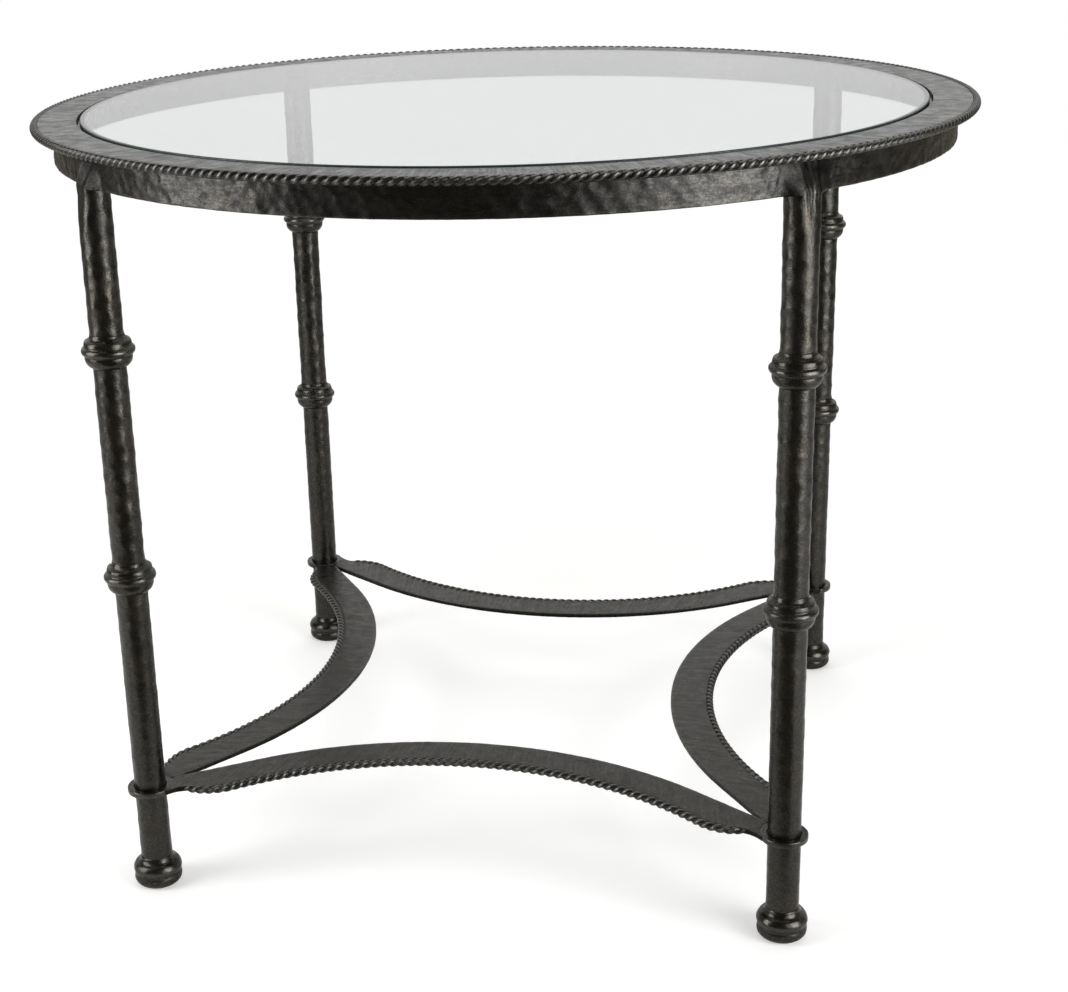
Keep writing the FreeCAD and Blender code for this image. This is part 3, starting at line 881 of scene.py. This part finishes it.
def make_collar(name, node, corner_at, seed):
    """Turned collar: cove, band, round lip and a band that rounds under, closed by its bore.

    The profile is made of bowed stretches and a half ellipse for the lip, turned about the leg.
    """
    low = level(node, 0)
    high = level(node, 1)
    middle = (low + high) / 2
    lip = span(node, 0) / 2
    shoulder = (COLLAR_SHOULDER, high - COLLAR_SHOULDER_DROP)
    over = np.radians(np.linspace(90, -90, 11))
    ring = np.stack([
        COLLAR_BAND + (lip - COLLAR_BAND) * np.cos(over),
        middle + COLLAR_LIP_HALF * np.sin(over),
    ], 1)
    profile = path(
        bowed((FIT_EDGE, high), shoulder, 1.5 * MM, 8),
        bowed(shoulder, ring[0], -0.4 * MM, 7),
        ring,
        bowed(ring[-1], (FIT_EDGE, low), -2.4 * MM, 14),
        run((FIT_BORE, low), (FIT_BORE, high), 3),
    )
    points, _ = turned(profile, TURNED_COLUMNS, corner_at)
    points = dented(points, corner_at, seed, depth=0.12 * MM, pitch=8 * MM)
    crest = np.exp(-((profile[:, 1:] - middle) / (2.0 * MM)) ** 2)
    put(name, points, node, TURNED_IRON, along_closed=True, marks={"wear_and_highlight": 0.35 * crest})


def make_foot(corner, corner_at, seed):
    """Turned foot: flat base, rounded roll, groove, bell and a cove up to the leg, with its socket.

    The bell is a curve from groove to shoulder that one point outside it pulls out, and the whole
    profile is turned about the leg.
    """
    node = "foot_" + corner
    high = level(node, 1)
    pull = np.array([span(node, 0) / 2 + FOOT_BELL_PULL, FOOT_BELL_LEVEL])
    t = np.linspace(0.0, 1.0, 12)[:, None]
    bell = (1 - t) ** 2 * np.array(FOOT_GROOVE) + 2 * t * (1 - t) * pull + t**2 * np.array(FOOT_SHOULDER)
    profile = path(
        run((FOOT_HUB, 0.0), FOOT_BASE, 5),
        bowed(FOOT_BASE, FOOT_GROOVE, 3.6 * MM, 12),
        bell,
        bowed(FOOT_SHOULDER, (FIT_EDGE, high), -1.5 * MM, 7),
        run((FIT_BORE, high), (FIT_BORE, FOOT_SOCKET), 3),
        (FOOT_HUB, FOOT_SOCKET),
    )
    points, _ = turned(profile, TURNED_COLUMNS, corner_at)
    dent = dented(points.copy(), corner_at, seed, depth=0.14 * MM, pitch=9 * MM)
    lifted = smooth((points[..., 2:] - 1 * MM) / (3 * MM))
    points = points + (dent - points) * lifted
    crest = np.exp(-((profile[:, 1:] - FOOT_CREST) / (2.5 * MM)) ** 2)
    put("turned_foot_" + corner, points, node, TURNED_IRON, marks={"wear_and_highlight": 0.3 * crest})


def make_eye(corner, corner_at, seed):
    """Eye of the stretcher: a flat ring with a rounded rim and a countersunk bore, turned about the leg."""
    node = "stretcher_eye_" + corner
    low = level(node, 0)
    high = level(node, 1)
    edge = EYE_RADIUS - EYE_ARRIS
    sunk = EYE_BORE + EYE_SINK
    profile = path(
        run((EYE_BORE, high - EYE_SINK), (sunk, high), 4),
        run((sunk + 0.2 * MM, high), (edge, high), 5),
        arc((edge, high - EYE_ARRIS), EYE_ARRIS, 90, 0, 6),
        arc((edge, low + EYE_ARRIS), EYE_ARRIS, 0, -90, 6),
        run((EYE_BORE, low), (EYE_BORE, high - EYE_SINK), 4),
    )[:-1]
    points, _ = turned(profile, TURNED_COLUMNS, corner_at)
    points = dented(points, corner_at, seed, depth=0.08 * MM, pitch=9 * MM)
    radius = profile[:, :1]
    # Painted highlights: a thin pale line round the top of the countersink and round the outer rim
    inner_edge = np.exp(-np.abs(radius - EYE_BORE - EYE_SINK) / (0.5 * MM)) * (profile[:, 1:] > BAR_MIDDLE)
    outer_edge = np.exp(-((radius - EYE_RADIUS) / (1.0 * MM)) ** 2)
    put("eye_ring_" + corner, points, node, TURNED_IRON, along_closed=True,
        marks={"wear_and_highlight": 0.6 * inner_edge + 0.3 * outer_edge})


def both_halves(right):
    """A line of the front bar in plan from its right half, which starts in the middle."""
    left = right[::-1] * np.array([-1.0, 1.0])
    return path(left, right)


def bar_edge(inset):
    """Outer line of the front bar in plan, moved in by an inset, from the left leg to the right.

    A wide bow with its centre outside the table runs into a bulge at each end and a straight neck
    at the leg. The bow's radius is the one that meets both bulges smoothly.
    """
    bulge_x = LEG_OFFSET - BAR_NECK
    drop = LEG_OFFSET - BAR_REACH - BAR_NECK_INSET - BAR_BULGE
    bow = (bulge_x**2 + drop**2 - BAR_BULGE**2) / (2 * (BAR_BULGE + drop))
    neck_y = -LEG_OFFSET + BAR_NECK_INSET
    bow_centre = np.array([0.0, -BAR_REACH - bow])
    bulge_centre = np.array([bulge_x, neck_y + BAR_BULGE])
    lean = math.degrees(math.atan2(bulge_centre[1] - bow_centre[1], bulge_centre[0]))
    return both_halves(path(
        arc(bow_centre, bow + inset, 90, lean, 60),
        arc(bulge_centre, BAR_BULGE - inset, lean - 180, -90, 30),
        run((bulge_x, neck_y + inset), (LEG_OFFSET, neck_y + inset), 12),
    ))


def bar_inner():
    """Inner line of the front bar in plan: an arc through the middle, then a straight to each crotch.

    The arc's radius is the one whose tangent of the given length ends at the crotch.
    """
    end = LEG_OFFSET - BAR_CROTCH * math.sqrt(0.5)
    middle_y = -BAR_REACH + BAR_WIDTH
    rise = end + middle_y
    radius = (end**2 + rise**2 - BAR_STRAIGHT**2) / (2 * rise)
    lean = math.degrees(math.atan2(radius - rise, end) + math.atan2(BAR_STRAIGHT, radius))
    bow = arc((0.0, middle_y - radius), radius, 90, lean, 80)
    return both_halves(path(bow, run(bow[-1], (end, -end), 30)))


def leg_distance(plan):
    """Distance of each point of the front bar's plan from the nearer leg's axis."""
    right = np.linalg.norm(plan - np.array([LEG_OFFSET, -LEG_OFFSET]), axis=-1)
    left = np.linalg.norm(plan - np.array([-LEG_OFFSET, -LEG_OFFSET]), axis=-1)
    return np.minimum(right, left)


def make_bar(side, degrees, seed):
    """Stretcher bar: a flat section with soft edges carried between the bar's outer and inner lines.

    Near an eye the outer line flares out into it, by an amount that dies away from the eye.
    """
    count = 320
    outer, far = evenly(bar_edge(ROPE_RADIUS - ROPE_BED), count)
    inner, _ = evenly(bar_inner(), count)
    past_flare = np.maximum(leg_distance(outer) - BAR_FLARE_START, 0.0)
    outer[:, 1] -= BAR_FLARE * np.exp(-past_flare / BAR_FLARE_LENGTH)
    half = (BAR_TOP - BAR_BOTTOM) / 2
    soft = BAR_ARRIS / BAR_WIDTH
    rise = BAR_ARRIS / half
    top = np.stack([np.linspace(soft, 1 - soft, 15), np.full(15, 1.0)], 1)
    corner = np.radians(np.linspace(0, 90, 4))[1:-1]
    inner_top = np.stack([1 - soft + soft * np.sin(corner), 1 - rise + rise * np.cos(corner)], 1)
    outer_top = inner_top[::-1] * np.array([-1.0, 1.0]) + np.array([1.0, 0.0])
    side_points = np.array([[1.0, 1 - rise], [1.0, 0.0], [1.0, rise - 1]])
    flip = np.array([1.0, -1.0])
    section = np.concatenate([
        top, inner_top, side_points, inner_top[::-1] * flip, top[::-1] * flip,
        outer_top[::-1] * flip, side_points[::-1] * np.array([0.0, 1.0]), outer_top,
    ])
    across = section[:, 0][None, :]
    over = section[:, 1][None, :]
    plan = outer[:, None, :] + (inner - outer)[:, None, :] * across[..., None]
    thin = 1.0 - 0.5 * (1.0 - smooth((leg_distance(plan) - EYE_RADIUS + 3 * MM) / (2.5 * MM)))
    flat = across * BAR_WIDTH
    lay = far[:, None] + 0.0 * flat
    dents = blows(lay, flat, 12 * MM, seed) + 0.7 * blows(lay, flat * 0.5, 6 * MM, seed + 1)
    up = over * half * thin + BAR_DENT * np.minimum(dents, 0.8) * over
    points = np.concatenate([plan, (BAR_MIDDLE + up)[..., None]], -1)
    # Painted highlight along the top inner arris, and painted shade on the upright sides that keeps them
    # dark
    edge = np.exp(-(1 - across) * BAR_WIDTH / (0.9 * MM)) * (over > 0.5)
    painted_shade = smooth((0.95 - np.abs(over)) / 0.2)
    uv = np.stack([lay, np.broadcast_to(flat, lay.shape)], -1)
    put("bar_plate_" + side, about_table(points, degrees), "stretcher_bar_" + side, BAR_IRON,
        marks={"wear_and_highlight": 0.5 * edge, "painted_shade": painted_shade}, uv=uv)


def make_bar_rope(side, degrees):
    """Twisted rod along a bar's outer line; it thins and sinks into the plate's edge before each eye."""
    line, far = evenly(bar_edge(0.0), 1000)
    line = line[leg_distance(line) > EYE_RADIUS - 4 * MM]
    line, far = evenly(line, round(ROPE_STEPS * (far[-1] / ROPE_LEAD)))
    ahead = np.gradient(line, axis=0)
    ahead /= np.linalg.norm(ahead, axis=1, keepdims=True)
    out = np.stack([ahead[:, 1], -ahead[:, 0]], 1)
    section, size, crown = rod_section()
    fade = smooth((leg_distance(line) - EYE_RADIUS - BEAD_FADE_START) / BEAD_FADE)[:, None]
    twist = section + 2 * np.pi * far[:, None] / ROPE_LEAD
    radius = ROPE_RADIUS * (BEAD_CORE + (size - BEAD_CORE) * fade)
    sideways = radius * np.cos(twist) - BEAD_SINK * (1.0 - fade)
    plan = line[:, None, :] + out[:, None, :] * sideways[..., None]
    points = np.concatenate([plan, (BAR_MIDDLE + radius * np.sin(twist))[..., None]], -1)
    # Crowns of the lobes are paler: wear, lifted further as painted highlights
    put("bar_bead_" + side, about_table(points, degrees), "stretcher_rope_" + side, ROPE_IRON,
        marks={"wear_and_highlight": 0.85 * crown * fade})


# Where a call ends in a number, it seeds that piece's own dents
make_rim()
make_rim_rope()
make_apron()
make_ledge()
make_glass()
for order, (corner, degrees) in enumerate(CORNER_TURNS.items()):
    turn = math.radians(degrees)
    corner_at = (LEG_CIRCLE * math.cos(turn), LEG_CIRCLE * math.sin(turn))
    make_leg(corner, degrees, 100 + 10 * order)
    make_collar("upper_collar_ring_" + corner, "upper_collar_" + corner, corner_at, 200 + order)
    make_collar("lower_collar_ring_" + corner, "lower_collar_" + corner, corner_at, 210 + order)
    make_foot(corner, corner_at, 220 + order)
    make_eye(corner, corner_at, 230 + order)
for order, (side, degrees) in enumerate(SIDE_TURNS.items()):
    make_bar(side, degrees, 300 + 10 * order)
    make_bar_rope(side, degrees)


# Studio

# Where the photograph was taken from: place in metres, angles in degrees
CAMERA_AT = Vector((0.3696, -1.8612, 0.9759))
CAMERA_HEADING = 12.433
CAMERA_PITCH = 19.595
CAMERA_ROLL = -1.770
CAMERA_LENS = 63.90
CAMERA_SENSOR = 36.0
CAMERA_SHIFT = (0.05535, 0.01098)
CAMERA_SIDE = Vector((CAMERA_AT.x, CAMERA_AT.y, 0.0)).normalized()

# Floor, room and lamps
WHITE = (1, 1, 1, 1)
WARM_DIM = (1.15, 1.0, 0.72, 1)
PAPER = (0.8, 0.8, 0.8, 1)
FLOOR_FRONT = 3.0
FLOOR_BACK = 4.0
FLOOR_HALF = 3.0
FLOOR_GLOW = 0.375
FLOOR_DIM = 0.1
FLOOR_WHITE = 1.02
BACKDROP = 0.87
WALL_FRONT = 0.06
WALL_BACK = 0.15
LAMP_AIM = Vector((0.0, 0.0, 0.45))


def seen_white(n):
    """1 for rays from the camera or through the glass, which see the studio white, and else 0."""
    rays = n.add("ShaderNodeLightPath")
    return n.math("MAXIMUM", rays.outputs["Is Camera Ray"], rays.outputs["Is Transmission Ray"])


def make_floor():
    """Pale floor sheet: white to the camera and through the glass, and still darkened by shadows.

    Away from the table it fades to an even white for the camera. To the metal it is dim in front.
    """
    low, _ = cad_box
    side = Vector((-CAMERA_SIDE.y, CAMERA_SIDE.x, 0.0))
    front = CAMERA_SIDE * FLOOR_FRONT + Vector((0.0, 0.0, low.z))
    back = CAMERA_SIDE * -FLOOR_BACK + Vector((0.0, 0.0, low.z))
    half = side * FLOOR_HALF
    mesh = bpy.data.meshes.new("floor")
    mesh.from_pydata([front - half, front + half, back + half, back - half], [], [(0, 1, 2, 3)])
    floor = bpy.data.objects.new("floor", mesh)
    bpy.context.scene.collection.objects.link(floor)
    material, n = bare_material("studio_paper")
    seen = seen_white(n)
    paper = n.add("ShaderNodeBsdfDiffuse")
    paper.inputs["Color"].default_value = PAPER
    glow = n.add("ShaderNodeEmission")
    glow.inputs["Color"].default_value = WHITE
    n.link(n.math("MULTIPLY", seen, FLOOR_GLOW), glow.inputs["Strength"])
    both = n.add("ShaderNodeAddShader")
    n.link(paper.outputs[0], both.inputs[0])
    n.link(glow.outputs[0], both.inputs[1])
    even = n.add("ShaderNodeEmission")
    n.link(n.mix(seen, WARM_DIM, WHITE), even.inputs["Color"])
    n.link(n.ramp(seen, 0.0, 1.0, FLOOR_DIM, FLOOR_WHITE), even.inputs["Strength"])
    place_of = n.add("ShaderNodeTexCoord").outputs["Object"]
    away = n.vector("LENGTH", place_of)
    turned_to = n.math("DIVIDE", n.vector("DOT_PRODUCT", place_of, CAMERA_SIDE), away)
    in_front = n.math("MULTIPLY", n.ramp(turned_to, 0.72, 0.92), n.ramp(away, 0.42, 0.7))
    far = n.math("MULTIPLY", n.ramp(away, 0.55, 0.95), seen)
    unseen = n.math("SUBTRACT", 1.0, seen)
    blend = n.add("ShaderNodeMixShader")
    n.link(n.math("ADD", far, n.math("MULTIPLY", in_front, unseen)), blend.inputs["Fac"])
    n.link(both.outputs[0], blend.inputs[1])
    n.link(even.outputs[0], blend.inputs[2])
    output = n.add("ShaderNodeOutputMaterial")
    n.link(blend.outputs[0], output.inputs["Surface"])
    mesh.materials.append(material)


def make_camera():
    """Camera at the photograph's place; heading turns left of +Y, pitch looks down, roll tips the frame."""
    heading = math.radians(CAMERA_HEADING)
    pitch = math.radians(CAMERA_PITCH)
    roll = math.radians(CAMERA_ROLL)
    ahead = Vector((
        -math.sin(heading) * math.cos(pitch),
        math.cos(heading) * math.cos(pitch),
        -math.sin(pitch),
    ))
    level_right = Vector((math.cos(heading), math.sin(heading), 0.0))
    level_up = level_right.cross(ahead)
    right = level_right * math.cos(roll) + level_up * math.sin(roll)
    up = level_up * math.cos(roll) - level_right * math.sin(roll)
    data = bpy.data.cameras.new("camera")
    data.sensor_fit = "HORIZONTAL"
    data.sensor_width = CAMERA_SENSOR
    data.lens = CAMERA_LENS
    data.shift_x, data.shift_y = CAMERA_SHIFT
    camera = bpy.data.objects.new("camera", data)
    turn = Matrix((right, up, -ahead)).transposed().to_4x4()
    camera.matrix_world = Matrix.Translation(CAMERA_AT) @ turn
    bpy.context.scene.collection.objects.link(camera)
    bpy.context.scene.camera = camera


def make_softbox(name, azimuth, distance, height, size, strength):
    """Soft rectangular lamp that faces the table; azimuth runs from the camera's side to the right."""
    towards = math.atan2(CAMERA_AT.y, CAMERA_AT.x) + math.radians(azimuth)
    place_at = Vector((distance * math.cos(towards), distance * math.sin(towards), height))
    data = bpy.data.lights.new(name, "AREA")
    data.shape = "RECTANGLE"
    data.size, data.size_y = size
    data.energy = strength * math.pi * size[0] * size[1]
    lamp = bpy.data.objects.new(name, data)
    lamp.location = place_at
    aim = LAMP_AIM - place_at
    lamp.rotation_euler = aim.to_track_quat("-Z", "Y").to_euler()
    lamp.visible_camera = False
    lamp.visible_transmission = False
    bpy.context.scene.collection.objects.link(lamp)


def make_world():
    """White behind the table and dim on the camera's side; camera and glass see white all round."""
    world = bpy.data.worlds.new("studio")
    bpy.context.scene.world = world
    world.use_nodes = True
    n = Nodes(world.node_tree)
    world.node_tree.nodes.clear()
    towards = n.add("ShaderNodeTexCoord").outputs["Generated"]
    behind = n.vector("DOT_PRODUCT", towards, -CAMERA_SIDE)
    split = n.add("ShaderNodeSeparateXYZ")
    n.link(towards, split.inputs[0])
    above = n.ramp(split.outputs["Z"], 0.01, 0.08)
    backdrop = n.math("MULTIPLY", n.ramp(behind, 0.2, 0.6), above)
    walls = n.ramp(behind, -0.7, 0.1, WALL_FRONT, WALL_BACK)
    shade = n.math("MAXIMUM", n.math("MULTIPLY", backdrop, BACKDROP), walls)
    seen = seen_white(n)
    plain = n.math("MAXIMUM", n.ramp(shade, 0.2, 0.6), seen)
    glow = n.add("ShaderNodeBackground")
    n.link(n.mix(plain, WARM_DIM, WHITE), glow.inputs["Color"])
    n.link(n.math("MAXIMUM", shade, seen), glow.inputs["Strength"])
    output = n.add("ShaderNodeOutputWorld")
    n.link(glow.outputs[0], output.inputs["Surface"])


make_floor()
make_camera()
make_world()
make_softbox("left_softbox", azimuth=-68, distance=1.66, height=0.92, size=(0.82, 1.4), strength=5.1)
make_softbox("right_softbox", azimuth=49, distance=2.06, height=0.85, size=(1.02, 1.6), strength=6.4)
make_softbox("right_fill", azimuth=27, distance=2.1, height=0.85, size=(0.5, 1.6), strength=2.0)
make_softbox("overhead_softbox", azimuth=180, distance=0.5, height=2.6, size=(2.2, 2.2), strength=1.2)
bpy.context.scene.view_settings.view_transform = "Standard"
